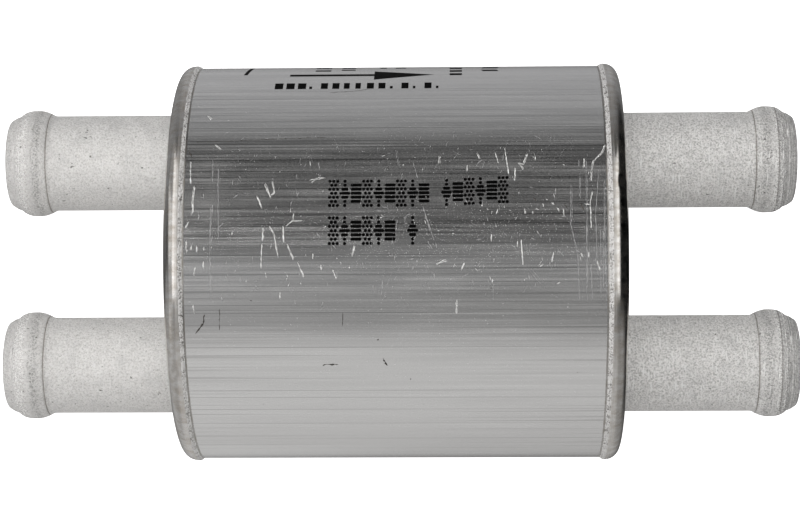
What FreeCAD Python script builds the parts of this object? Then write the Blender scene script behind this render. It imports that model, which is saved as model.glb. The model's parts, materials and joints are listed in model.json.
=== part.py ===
# In-line gas filter: a crimped aluminium tube with two hose nozzles in each end
# and a spring-loaded pleated paper element inside.
#
# Frame, in millimetres: the origin is the centre of the housing, +X runs along
# the housing from the inlets to the outlets, the two nozzles of each end stand
# apart along Y, and +Z is up when the filter lies on its side.

import FreeCAD, Part
import math
import os

import Sketcher
from FreeCAD import Placement, Rotation, Vector

os.makedirs("parts", exist_ok=True)
doc = FreeCAD.newDocument("gas_filter")

# ---------------------------------------------------------------- driving sizes
# Lengths along the axis are measured from the middle of the housing, so one
# value serves both ends. Radii are from the axis of the piece they belong to.
SIZES = {
    # housing tube
    "tube_radius": 24.5,
    "tube_bore": 22.7,
    "ramp_start": 24.6,
    "ramp_top": 24.72,
    "crease_place": 25.12,
    "crease_half": 0.06,
    "crease_bottom": 24.62,
    "lip_place": 25.4,
    "lip_radius": 24.8,
    "rim_bend": 1.69,
    "rim_end": 27.0,
    "rim_radius": 23.5,
    "flange_radius": 21.0,
    "flange_edge": 0.5,
    # end caps, pressed against a shoulder in the tube
    "seat_radius": 23.1,
    "cap_radius": 23.0,
    "cap_inner": 20.4,
    "cap_outer": 25.6,
    "cap_chamfer": 0.4,
    "cap_groove_radius": 21.6,
    "cap_groove_start": 21.9,
    "cap_groove_end": 24.5,
    "boss_radius": 3.4,
    "boss_height": 1.2,
    "rib_inside": 19.7,
    "rib_outside": 21.2,
    "rib_height": 3.0,
    # nozzles
    "nozzle_pitch": 25.6,
    "nozzle_radius": 6.0,
    "nozzle_bore": 5.0,
    "nozzle_hole": 6.05,
    "nozzle_inner": 19.4,
    "flare_radius": 6.6,
    "flare_chamfer": 0.3,
    "collar_radius": 7.0,
    "collar_crest": 26.2,
    "collar_end": 26.9,
    "collar_round": 1.2,
    "bead_foot": 43.4,
    "bead_foot_round": 2.2,
    "bead_crease": 44.05,
    "bead_crease_half": 0.05,
    "bead_crease_bottom": 6.14,
    "bead_shoulder": 6.24,
    "bead_radius": 6.7,
    "bead_start": 45.3,
    "bead_end": 46.7,
    "bead_start_round": 4.0,
    "nose_start": 47.9,
    "nose_radius": 6.03,
    "nose_round": 3.0,
    "nose_end": 49.25,
    "tip_radius": 5.35,
    "tip_chamfer": 0.25,
    # squeezed rubber rings
    "cap_seal_width": 2.3,
    "cap_seal_round": 0.6,
    "nozzle_groove_radius": 7.15,
    "nozzle_groove_start": 22.0,
    "nozzle_groove_end": 24.0,
    "nozzle_seal_width": 1.7,
    "nozzle_seal_round": 0.4,
    # filter element
    "disc_outside": 16.4,
    "disc_inside": 15.6,
    "disc_rim_start": 13.4,
    "disc_radius": 21.2,
    "disc_rim_inside": 20.6,
    "disc_hole": 10.6,
    "disc_collar": 11.1,
    "disc_boss_radius": 3.9,
    "disc_boss_height": 1.0,
    "core_bore": 11.2,
    "core_radius": 11.8,
    "core_hole": 1.2,
    "core_hole_pitch": 4.5,
    "core_hole_rows": 5,
    "core_hole_columns": 12,
    "potting_face": 13.9,
    "pleat_count": 32,
    "pleat_end": 14.9,
    "pleat_tip": 20.2,
    "pleat_tip_half": 0.45,
    "pleat_apex": 19.7,
    "pleat_root": 12.2,
    "pleat_slope": 0.112,
    "clip_thickness": 0.3,
    "clip_leg": 3.0,
    "clip_end": 13.8,
    "gasket_inside": 19.5,
    # spring
    "spring_radius": 4.9,
    "spring_wire": 0.9,
    "spring_turns": 2.5,
}

sheet = doc.addObject("Spreadsheet::Sheet", "Sizes")
for row, (alias, number) in enumerate(SIZES.items(), start=1):
    sheet.set(f"A{row}", alias)
    sheet.set(f"B{row}", str(number))
    sheet.setAlias(f"B{row}", alias)
doc.recompute()


def cell(alias):
    """Expression that names one size."""
    return f"Sizes.{alias}"


def value(expression):
    """Number that an expression gives now, without its unit."""
    result = sheet.evalExpression(expression)
    return float(getattr(result, "Value", result))


# ------------------------------------------------------------- drawing helpers
SKETCH_ORIGIN = (-1, 1)
HORIZONTAL_AXIS = -1
START, END, CENTRE = 1, 2, 3


def add_body(label):
    body = doc.addObject("PartDesign::Body", label)
    body.Label = label
    return body


def origin_part(body, role):
    """A body's own origin plane or axis."""
    for feature in body.Origin.OriginFeatures:
        if feature.Role == role:
            return feature
    raise ValueError(role)


def add_sketch(body, name, plane):
    sketch = body.newObject("Sketcher::SketchObject", name)
    sketch.AttachmentSupport = [(origin_part(body, plane), "")]
    sketch.MapMode = "FlatFace"
    return sketch


def bind(sketch, kind, references, expression):
    """Add a dimension and tie it to an expression of the sheet."""
    constraint = Sketcher.Constraint(kind, *references, value(expression))
    index = sketch.addConstraint(constraint)
    sketch.setExpression(f"Constraints[{index}]", expression)


def hold_point(sketch, geometry, position, across, along):
    """Hold a point of the sketch at two expressions from its origin."""
    bind(sketch, "DistanceX", (*SKETCH_ORIGIN, geometry, position), across)
    if along == "0":
        on_axis = Sketcher.Constraint("PointOnObject", geometry, position, HORIZONTAL_AXIS)
        sketch.addConstraint(on_axis)
    else:
        bind(sketch, "DistanceY", (*SKETCH_ORIGIN, geometry, position), along)


def arc_between(first, last, radius, turn):
    """Arc from first to last; turn is +1 anticlockwise, -1 clockwise."""
    chord = last - first
    half = chord.Length / 2
    to_centre = math.sqrt(radius ** 2 - half ** 2)
    left = Vector(-chord.y, chord.x, 0).normalize()
    centre = (first + last) / 2 + left * to_centre * turn
    if turn < 0:
        first, last = last, first
    start_angle = math.atan2(first.y - centre.y, first.x - centre.x)
    end_angle = math.atan2(last.y - centre.y, last.x - centre.x)
    circle = Part.Circle(centre, Vector(0, 0, 1), radius)
    return Part.ArcOfCircle(circle, start_angle, end_angle)


def closed_outline(sketch, corners):
    """Draw a closed outline and hold every corner at its two expressions.

    Each corner is (across, along), or (across, along, radius, turn) where the
    way from it to the next corner is an arc.
    """
    points = [Vector(value(corner[0]), value(corner[1]), 0) for corner in corners]
    ends = []
    for index, corner in enumerate(corners):
        first = points[index]
        last = points[(index + 1) % len(points)]
        if len(corner) == 2:
            geometry = sketch.addGeometry(Part.LineSegment(first, last))
            ends.append((geometry, START, END))
            continue
        radius, turn = corner[2:]
        geometry = sketch.addGeometry(arc_between(first, last, value(radius), turn))
        bind(sketch, "Radius", (geometry,), radius)
        ends.append((geometry, START, END) if turn > 0 else (geometry, END, START))
    for index, (geometry, start, _) in enumerate(ends):
        before, _, end = ends[index - 1]
        sketch.addConstraint(Sketcher.Constraint("Coincident", before, end, geometry, start))
        hold_point(sketch, geometry, start, *corners[index][:2])


def solid_volume(body):
    doc.recompute()
    return body.Shape.Volume


def turned(body, name, corners):
    """Turn an outline, drawn in the XY plane, about the X axis."""
    sketch = add_sketch(body, f"{name}_outline", "XY_Plane")
    closed_outline(sketch, corners)
    solid = body.newObject("PartDesign::Revolution", name)
    solid.Profile = sketch
    solid.ReferenceAxis = (sketch, ["H_Axis"])
    solid.Angle = 360
    return solid


def ring_corners(inside, outside, low, high):
    """Rectangle of a plain ring: radii inside to outside, from low to high in X."""
    return [(low, inside), (high, inside), (high, outside), (low, outside)]


def rounded_ring(label, inside, outside, low, high, rounding):
    """Rubber ring with its section squeezed to a rounded rectangle."""
    body = add_body(label)
    ring = turned(body, f"{label}_ring", ring_corners(inside, outside, low, high))
    doc.recompute()
    rounds = body.newObject("PartDesign::Fillet", f"{label}_rounds")
    rounds.Base = (ring, [""])
    rounds.UseAllEdges = True
    rounds.setExpression("Radius", rounding)
    body.Tip = rounds
    return body


def around_x(body, name, original, occurrences):
    """Repeat a feature around the X axis, evenly over a full turn."""
    pattern = body.newObject("PartDesign::PolarPattern", name)
    pattern.Originals = [original]
    pattern.Axis = (origin_part(body, "X_Axis"), [""])
    pattern.Angle = 360
    pattern.setExpression("Occurrences", occurrences)
    body.Tip = pattern
    return pattern


def turn_to_inlet(body):
    """Turn a piece drawn for the outlet end half a turn about Z."""
    body.Placement = Placement(Vector(0, 0, 0), Rotation(Vector(0, 0, 1), 180))


# --------------------------------------------------------------------- housing
def housing_tube():
    """Drawn tube whose two ends are rolled inward over the end caps.

    Next to each rim the rolling tool leaves a rough ramp, a fine crease and a
    lip that stands slightly proud of the tube.
    """
    c = cell
    outlet_end = [
        (c("ramp_start"), c("tube_radius")),
        (f"{c('crease_place')} - {c('crease_half')}", c("ramp_top")),
        (c("crease_place"), c("crease_bottom")),
        (f"{c('crease_place')} + {c('crease_half')}", c("ramp_top")),
        (c("lip_place"), c("lip_radius"), c("rim_bend"), -1),
        (c("rim_end"), c("rim_radius")),
        (c("rim_end"), f"{c('flange_radius')} + {c('flange_edge')}", c("flange_edge"), -1),
        (f"{c('rim_end')} - {c('flange_edge')}", c("flange_radius")),
        (c("cap_outer"), c("flange_radius")),
        (c("cap_outer"), c("seat_radius")),
        (c("cap_inner"), c("seat_radius")),
        (c("cap_inner"), c("tube_bore")),
    ]
    inlet_end = [(f"-({corner[0]})", corner[1]) for corner in reversed(outlet_end)]
    # an arc belongs to the corner it starts from, so it moves back by one here
    last = len(outlet_end) - 1
    for index, corner in enumerate(outlet_end):
        if len(corner) == 4:
            inlet_end[last - index - 1] += corner[2:]
    body = add_body("housing_tube")
    turned(body, "rolled_tube", outlet_end + inlet_end)


# --------------------------------------------------------------------- end caps
def cap_corners(inner_face):
    """Half section of a cap from its inner face outward, with the ring groove."""
    c = cell
    return inner_face + [
        (c("cap_inner"), c("cap_radius")),
        (c("cap_groove_start"), c("cap_radius")),
        (c("cap_groove_start"), c("cap_groove_radius")),
        (c("cap_groove_end"), c("cap_groove_radius")),
        (c("cap_groove_end"), c("cap_radius")),
        (f"{c('cap_outer')} - {c('cap_chamfer')}", c("cap_radius")),
        (c("cap_outer"), f"{c('cap_radius')} - {c('cap_chamfer')}"),
        (c("cap_outer"), "0"),
    ]


def end_cap(label, inner_face):
    """Turned disc with two stepped holes, each with a groove for its rubber ring."""
    c = cell
    body = add_body(label)
    turned(body, f"{label}_disc", cap_corners(inner_face))
    before = solid_volume(body)

    sketch = add_sketch(body, f"{label}_hole_outline", "XY_Plane")
    axis_height = f"{c('nozzle_pitch')} / 2"
    hole_wall = f"{axis_height} + {c('nozzle_hole')}"
    groove_wall = f"{axis_height} + {c('nozzle_groove_radius')}"
    low = f"{c('cap_inner')} - 1"
    high = f"{c('cap_outer')} + 1"
    closed_outline(sketch, [
        (low, axis_height),
        (high, axis_height),
        (high, hole_wall),
        (c("nozzle_groove_end"), hole_wall),
        (c("nozzle_groove_end"), groove_wall),
        (c("nozzle_groove_start"), groove_wall),
        (c("nozzle_groove_start"), hole_wall),
        (low, hole_wall),
    ])
    axis = sketch.addGeometry(
        Part.LineSegment(Vector(value(low), value(axis_height), 0),
                         Vector(value(high), value(axis_height), 0)), True)
    sketch.addConstraint(Sketcher.Constraint("Coincident", axis, START, 0, START))
    sketch.addConstraint(Sketcher.Constraint("Coincident", axis, END, 0, END))
    hole = body.newObject("PartDesign::Groove", f"{label}_nozzle_hole")
    hole.Profile = sketch
    hole.ReferenceAxis = (sketch, ["Axis0"])
    hole.Angle = 360
    doc.recompute()
    around_x(body, f"{label}_nozzle_holes", hole, "2")

    thickness = value(f"{c('cap_outer')} - {c('cap_inner')}")
    least = 2 * math.pi * value(c("nozzle_hole")) ** 2 * thickness
    if before - solid_volume(body) < least:
        raise RuntimeError(f"{label}: a nozzle hole is missing")
    return body


def inlet_end_cap():
    """Cap of the inlet end, with a centre boss that keeps the spring in place."""
    c = cell
    boss_top = f"{c('cap_inner')} - {c('boss_height')}"
    body = end_cap("inlet_end_cap", [
        (boss_top, "0"),
        (boss_top, c("boss_radius")),
        (c("cap_inner"), c("boss_radius")),
    ])
    turn_to_inlet(body)


def outlet_end_cap():
    """Cap of the outlet end, with a ring-shaped rib that the element sits on."""
    c = cell
    rib_top = f"{c('cap_inner')} - {c('rib_height')}"
    end_cap("outlet_end_cap", [
        (c("cap_inner"), "0"),
        (c("cap_inner"), c("rib_inside")),
        (rib_top, c("rib_inside")),
        (rib_top, c("rib_outside")),
        (c("cap_inner"), c("rib_outside")),
    ])


def cap_seal(label, side):
    """Ring squeezed between a cap's groove and the tube's seat."""
    c = cell
    middle = f"({c('cap_groove_start')} + {c('cap_groove_end')}) / 2"
    low = f"{middle} - {c('cap_seal_width')} / 2"
    high = f"{middle} + {c('cap_seal_width')} / 2"
    body = rounded_ring(label, c("cap_groove_radius"), c("seat_radius"), low, high,
                        c("cap_seal_round"))
    if side < 0:
        turn_to_inlet(body)


# --------------------------------------------------------------------- nozzles
def place_on_nozzle_axis(body, side, height):
    """Move a piece drawn on the X axis to its nozzle: side +1 is the outlet end."""
    if side < 0:
        turn_to_inlet(body)
    body.setExpression("Placement.Base.y", f"{height} * {cell('nozzle_pitch')} / 2")


def nozzle(label, side, height):
    """Tube with a collar outside the cap, a staked inner end and a hose bead."""
    c = cell
    crease_before = f"{c('bead_crease')} - {c('bead_crease_half')}"
    crease_after = f"{c('bead_crease')} + {c('bead_crease_half')}"
    body = add_body(label)
    turned(body, f"{label}_tube", [
        (c("nozzle_inner"), c("nozzle_bore")),
        (f"{c('nose_end')} - {c('tip_chamfer')}", c("nozzle_bore")),
        (c("nose_end"), f"{c('nozzle_bore')} + {c('tip_chamfer')}"),
        (c("nose_end"), c("tip_radius"), c("nose_round"), +1),
        (c("nose_start"), c("nose_radius")),
        (c("bead_end"), c("bead_radius")),
        (c("bead_start"), c("bead_radius"), c("bead_start_round"), +1),
        (crease_after, c("bead_shoulder")),
        (c("bead_crease"), c("bead_crease_bottom")),
        (crease_before, c("bead_shoulder"), c("bead_foot_round"), -1),
        (c("bead_foot"), c("nozzle_radius")),
        (c("collar_end"), c("nozzle_radius"), c("collar_round"), +1),
        (c("collar_crest"), c("collar_radius")),
        (c("cap_outer"), c("collar_radius")),
        (c("cap_outer"), c("nozzle_radius")),
        (c("cap_inner"), c("nozzle_radius")),
        (c("cap_inner"), c("flare_radius")),
        (f"{c('nozzle_inner')} + {c('flare_chamfer')}", c("flare_radius")),
        (c("nozzle_inner"), f"{c('flare_radius')} - {c('flare_chamfer')}"),
    ])
    place_on_nozzle_axis(body, side, height)


def nozzle_seal(label, side, height):
    """Ring squeezed between the cap's inner groove and the nozzle."""
    c = cell
    middle = f"({c('nozzle_groove_start')} + {c('nozzle_groove_end')}) / 2"
    low = f"{middle} - {c('nozzle_seal_width')} / 2"
    high = f"{middle} + {c('nozzle_seal_width')} / 2"
    body = rounded_ring(label, c("nozzle_radius"), c("nozzle_groove_radius"), low, high,
                        c("nozzle_seal_round"))
    place_on_nozzle_axis(body, side, height)


# -------------------------------------------------------------- filter element
def open_end_disc():
    """Pressed cup at the outlet end, open in the middle for the clean gas."""
    c = cell
    body = add_body("open_end_disc")
    turned(body, "open_cup", [
        (c("disc_outside"), c("disc_hole")),
        (c("disc_outside"), c("disc_radius")),
        (c("disc_rim_start"), c("disc_radius")),
        (c("disc_rim_start"), c("disc_rim_inside")),
        (c("disc_inside"), c("disc_rim_inside")),
        (c("disc_inside"), c("disc_collar")),
        (c("disc_rim_start"), c("disc_collar")),
        (c("disc_rim_start"), c("disc_hole")),
    ])


def closed_end_disc():
    """Pressed cup at the inlet end, closed, with a boss that centres the spring."""
    c = cell
    boss_top = f"{c('disc_outside')} + {c('disc_boss_height')}"
    body = add_body("closed_end_disc")
    turned(body, "closed_cup", [
        (c("disc_inside"), "0"),
        (boss_top, "0"),
        (boss_top, c("disc_boss_radius")),
        (c("disc_outside"), c("disc_boss_radius")),
        (c("disc_outside"), c("disc_radius")),
        (c("disc_rim_start"), c("disc_radius")),
        (c("disc_rim_start"), c("disc_rim_inside")),
        (c("disc_inside"), c("disc_rim_inside")),
    ])
    turn_to_inlet(body)


def element_gasket():
    """Flat ring between the open cup and the rib of the outlet cap."""
    c = cell
    body = add_body("element_gasket")
    high = f"{c('cap_inner')} - {c('rib_height')}"
    turned(body, "gasket_ring",
           ring_corners(c("gasket_inside"), c("rib_outside"), c("disc_outside"), high))


def centre_tube():
    """Perforated tube that keeps the paper from collapsing inward."""
    c = cell
    body = add_body("centre_tube")
    turned(body, "core_wall",
           ring_corners(c("core_bore"), c("core_radius"),
                        f"-{c('disc_inside')}", c("disc_inside")))
    before = solid_volume(body)
    sketch = add_sketch(body, "core_hole_row", "XY_Plane")
    rows = int(value(c("core_hole_rows")))
    for row in range(rows):
        place = f"({row} - ({c('core_hole_rows')} - 1) / 2) * {c('core_hole_pitch')}"
        circle = Part.Circle(Vector(value(place), 0, 0), Vector(0, 0, 1), value(c("core_hole")))
        geometry = sketch.addGeometry(circle)
        hold_point(sketch, geometry, CENTRE, place, "0")
        bind(sketch, "Radius", (geometry,), c("core_hole"))
    holes = body.newObject("PartDesign::Pocket", "core_holes")
    holes.Profile = sketch
    holes.Reversed = True
    holes.setExpression("Length", f"{c('core_radius')} + 1")
    doc.recompute()
    around_x(body, "core_hole_columns", holes, c("core_hole_columns"))
    wall = value(f"{c('core_radius')} - {c('core_bore')}")
    one_hole = math.pi * value(c("core_hole")) ** 2 * wall
    expected = rows * value(c("core_hole_columns")) * one_hole
    removed = before - solid_volume(body)
    if abs(removed / expected - 1) > 0.05:
        raise RuntimeError("centre_tube: holes are missing")


def pleated_paper():
    """Paper folded into radial pleats: one pleat, repeated around the axis."""
    c = cell
    half_step = f"(180 / {c('pleat_count')})"
    root_across = f"{c('pleat_root')} * cos({half_step})"
    root_up = f"{c('pleat_root')} * sin({half_step})"
    inner_flank_up = f"{c('pleat_slope')} * ({c('pleat_apex')} - {root_across})"
    valley_across = (f"({c('pleat_tip_half')} + {c('pleat_slope')} * {c('pleat_tip')})"
                     f" / ({c('pleat_slope')} + tan({half_step}))")
    valley_up = f"{valley_across} * tan({half_step})"
    upper = [
        (c("pleat_tip"), c("pleat_tip_half")),
        (valley_across, valley_up),
        (root_across, root_up),
        (root_across, inner_flank_up),
    ]
    lower = [(across, f"-({up})") for across, up in reversed(upper)]
    body = add_body("pleated_paper")
    sketch = add_sketch(body, "pleat_outline", "YZ_Plane")
    closed_outline(sketch, upper + [(c("pleat_apex"), "0")] + lower)
    pleat = body.newObject("PartDesign::Pad", "pleat")
    pleat.Profile = sketch
    pleat.Midplane = True
    pleat.setExpression("Length", f"2 * {c('pleat_end')}")
    doc.recompute()
    around_x(body, "pleats", pleat, c("pleat_count"))
    return body


def seam_clip():
    """Folded strip that holds the paper's two ends together at one pleat."""
    c = cell
    thick = c("clip_thickness")
    leg_end = f"{c('pleat_tip')} - {c('clip_leg')}"
    leg_up = f"{c('pleat_tip_half')} + {c('pleat_slope')} * {c('clip_leg')}"
    upper = [
        (leg_end, leg_up),
        (leg_end, f"{leg_up} + {thick}"),
        (f"{c('pleat_tip')} + {thick}", f"{c('pleat_tip_half')} + {thick}"),
    ]
    outer_lower = [(across, f"-({up})") for across, up in reversed(upper)]
    inner = [
        (c("pleat_tip"), f"-{c('pleat_tip_half')}"),
        (c("pleat_tip"), c("pleat_tip_half")),
    ]
    body = add_body("seam_clip")
    sketch = add_sketch(body, "clip_outline", "YZ_Plane")
    closed_outline(sketch, upper + outer_lower + inner)
    strip = body.newObject("PartDesign::Pad", "clip_strip")
    strip.Profile = sketch
    strip.Midplane = True
    strip.setExpression("Length", f"2 * {c('clip_end')}")


def potting(label, side, paper):
    """Cast ring that holds the ends of the pleats in their cup."""
    c = cell
    blank = add_body(f"{label}_blank")
    turned(blank, f"{label}_ring",
           ring_corners(c("core_radius"), c("disc_rim_inside"),
                        c("potting_face"), c("disc_inside")))
    if side < 0:
        turn_to_inlet(blank)
    cast = doc.addObject("Part::Cut", label)
    cast.Label = label
    cast.Base = blank
    cast.Tool = paper


def compression_spring():
    """Round-wire spring that presses the element onto its gasket."""
    c = cell
    body = add_body("compression_spring")
    sketch = add_sketch(body, "wire_section", "XY_Plane")
    start = f"-{c('cap_inner')} + {c('spring_wire')} / 2"
    circle = Part.Circle(Vector(value(start), value(c("spring_radius")), 0),
                         Vector(0, 0, 1), value(f"{c('spring_wire')} / 2"))
    geometry = sketch.addGeometry(circle)
    hold_point(sketch, geometry, CENTRE, start, c("spring_radius"))
    bind(sketch, "Radius", (geometry,), f"{c('spring_wire')} / 2")
    coil = body.newObject("PartDesign::AdditiveHelix", "coil")
    coil.Profile = sketch
    coil.ReferenceAxis = (sketch, ["H_Axis"])
    coil.Mode = "pitch-height-angle"
    travel = f"({c('cap_inner')} - {c('disc_outside')} - {c('spring_wire')})"
    coil.setExpression("Height", travel)
    coil.setExpression("Pitch", f"{travel} / {c('spring_turns')}")


# --------------------------------------------------------------------- assembly
housing_tube()
inlet_end_cap()
outlet_end_cap()
for end_name, end_side in (("inlet", -1), ("outlet", +1)):
    cap_seal(f"{end_name}_cap_seal", end_side)
    for place_name, place_height in (("upper", +1), ("lower", -1)):
        nozzle(f"{end_name}_nozzle_{place_name}", end_side, place_height)
        nozzle_seal(f"{end_name}_seal_{place_name}", end_side, place_height)
open_end_disc()
closed_end_disc()
element_gasket()
centre_tube()
filter_paper = pleated_paper()
seam_clip()
potting("inlet_potting", -1, filter_paper)
potting("outlet_potting", +1, filter_paper)
compression_spring()
doc.recompute()

# ------------------------------------------------------------ checks and export
for item in doc.Objects:
    if "Invalid" in item.State or "Error" in item.State:
        raise RuntimeError(f"{item.Label} failed: {item.State}")

subparts = [item for item in doc.Objects
            if item.TypeId in ("PartDesign::Body", "Part::Cut")
            and not item.Label.endswith("_blank")]
for item in subparts:
    shape = item.Shape
    if shape.isNull() or not shape.isValid() or len(shape.Solids) != 1:
        raise RuntimeError(f"{item.Label} is not one valid solid")

for item in subparts:
    item.Shape.exportStep(f"parts/{item.Label}.step")
    print(f"{item.Label}: {item.Shape.Volume:.1f} mm3")
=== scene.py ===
import json
import math
import random

import bmesh
import bpy
from mathutils import Euler, Matrix, Vector


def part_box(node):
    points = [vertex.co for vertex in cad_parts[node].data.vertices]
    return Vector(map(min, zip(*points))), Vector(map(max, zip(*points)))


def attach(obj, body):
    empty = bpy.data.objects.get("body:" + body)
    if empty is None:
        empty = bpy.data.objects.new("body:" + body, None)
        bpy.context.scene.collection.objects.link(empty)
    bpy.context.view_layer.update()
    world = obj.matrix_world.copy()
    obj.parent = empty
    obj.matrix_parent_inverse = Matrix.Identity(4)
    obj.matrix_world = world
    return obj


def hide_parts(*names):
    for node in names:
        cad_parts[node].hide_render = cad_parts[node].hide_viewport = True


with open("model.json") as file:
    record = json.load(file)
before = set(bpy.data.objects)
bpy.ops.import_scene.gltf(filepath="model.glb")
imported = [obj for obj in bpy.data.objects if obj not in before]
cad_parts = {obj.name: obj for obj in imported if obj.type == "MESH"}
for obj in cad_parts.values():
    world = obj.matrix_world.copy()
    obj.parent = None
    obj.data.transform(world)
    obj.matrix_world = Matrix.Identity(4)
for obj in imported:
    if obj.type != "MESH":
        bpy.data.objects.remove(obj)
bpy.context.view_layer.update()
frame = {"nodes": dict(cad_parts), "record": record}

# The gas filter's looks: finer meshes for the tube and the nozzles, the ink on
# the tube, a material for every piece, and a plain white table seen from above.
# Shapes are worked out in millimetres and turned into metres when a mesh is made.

MM = 0.001
TURN = 2 * math.pi

# ------------------------------------------------------------ sizes of the frame
mounts = {mount["name"]: mount for mount in frame["record"]["mounts"]}


def node_box(node):
    """Lowest and highest corner of a CAD node, in millimetres."""
    low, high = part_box(node)
    return low / MM, high / MM


TUBE_RADIUS = mounts["body_band"]["dims"]["r_mm"]
HOUSING_HIGH = node_box("housing_tube")[1]
LIP_RADIUS = HOUSING_HIGH.z
RIM_END = HOUSING_HIGH.x
CAP_FACE = node_box("outlet_end_cap")[1].x
SEAT_RADIUS = node_box("outlet_cap_seal")[1].z
NOZZLE_LOW, NOZZLE_HIGH = node_box("outlet_nozzle_upper")
NOZZLE_INNER = NOZZLE_LOW.x
NOZZLE_END = NOZZLE_HIGH.x
NOZZLE_HEIGHT = mounts["outlet_bore_upper"]["pos_m"][1] / MM
NOZZLE_BORE = mounts["outlet_bore_upper"]["dims"]["r_mm"]
BEAD_RADIUS = mounts["outlet_hose_upper"]["dims"]["r_mm"]

# Sizes that the frame's boxes and mounts don't give.
SHANK_RADIUS = 6.0
COLLAR_RADIUS = 7.0
FLANGE_RADIUS = 21.0
SHOULDER = 20.4
TUBE_BORE = 22.7

# Places along a nozzle, from its tip inwards.
NOZZLE_TIP = NOZZLE_END - 0.35
NOZZLE_NOSE = NOZZLE_END - 1.35
CROWN_OUTER = NOZZLE_END - 2.75
CROWN_INNER = NOZZLE_END - 3.75
BEAD_CREASE = NOZZLE_END - 5.2
BEAD_FOOT = NOZZLE_END - 5.8


# ------------------------------------------------------------------ mesh helpers
class Outline:
    """Points (x, radius) of a turned shape, in order, with a zone for each stretch."""

    def __init__(self, x, radius):
        self.points = [(x, radius)]
        self.zones = []

    def line(self, x, radius, zone=0, steps=1):
        x0, r0 = self.points[-1]
        for step in range(1, steps + 1):
            share = step / steps
            self.points.append((x0 + (x - x0) * share, r0 + (radius - r0) * share))
            self.zones.append(zone)
        return self

    def arc(self, x, radius, bulge, zone=0, steps=8):
        """Arc to a point. Bulge is its height over the chord as a share of the chord,
        positive to the left of the way it runs."""
        x0, r0 = self.points[-1]
        chord = Vector((x - x0, radius - r0))
        left = Vector((-chord.y, chord.x))
        half_turn = 2 * math.atan(2 * abs(bulge))
        side = math.copysign(1, bulge)
        for step in range(1, steps + 1):
            share = step / steps
            angle = half_turn * (2 * share - 1)
            along = 0.5 + 0.5 * math.sin(angle) / math.sin(half_turn)
            height = (math.cos(angle) - math.cos(half_turn)) / (2 * math.sin(half_turn))
            point = Vector((x0, r0)) + chord * along + left * height * side
            self.points.append((point.x, point.y))
            self.zones.append(zone)
        return self


def new_object(name, vertices, faces):
    mesh = bpy.data.meshes.new(name)
    mesh.from_pydata([Vector(v) * MM for v in vertices], [], faces)
    mesh.validate()
    piece = bpy.data.objects.new(name, mesh)
    bpy.context.scene.collection.objects.link(piece)
    return piece


def lathe(name, outline, segments, flip=False, height=0.0, reshape=None):
    """Closed outline turned about a line along X at y = height.

    Its UV map, in millimetres, runs around the piece in U and along the outline
    in V, forward over its first half and backward over its second, so that on a
    mirrored outline V is close to x. The seam lies on the table's side.
    """
    points = outline.points[:-1]
    count = len(points)
    distance = [0.0]
    for (x0, r0), (x1, r1) in zip(outline.points, outline.points[1:]):
        distance.append(distance[-1] + math.hypot(x1 - x0, r1 - r0))
    half_way = distance[-1] / 2
    distance = [d if d <= half_way else d - 2 * half_way for d in distance]
    reference = max(radius for _, radius in points)
    sign = -1 if flip else 1
    vertices = []
    for segment in range(segments):
        angle = -math.pi + TURN * segment / segments
        for x, radius in points:
            if reshape:
                x, radius = reshape(x, radius, angle)
            vertices.append((sign * x, height + radius * math.sin(angle), radius * math.cos(angle)))
    faces = []
    corners = []
    for segment in range(segments):
        after = (segment + 1) % segments
        u0 = reference * (TURN * segment / segments - math.pi)
        u1 = reference * (TURN * (segment + 1) / segments - math.pi)
        for index in range(count):
            following = (index + 1) % count
            face = [
                (segment * count + index, u0, distance[index]),
                (segment * count + following, u0, distance[index + 1]),
                (after * count + following, u1, distance[index + 1]),
                (after * count + index, u1, distance[index]),
            ]
            if flip:
                face.reverse()
            faces.append([corner[0] for corner in face])
            corners.extend(face)
    piece = new_object(name, vertices, faces)
    uv = piece.data.uv_layers.new(name="around_along")
    for loop, (_, u, v) in zip(uv.data, corners):
        loop.uv = (u, v * sign)
    for polygon in piece.data.polygons:
        polygon.material_index = outline.zones[polygon.index % count]
        polygon.use_smooth = True
    return piece


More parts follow.
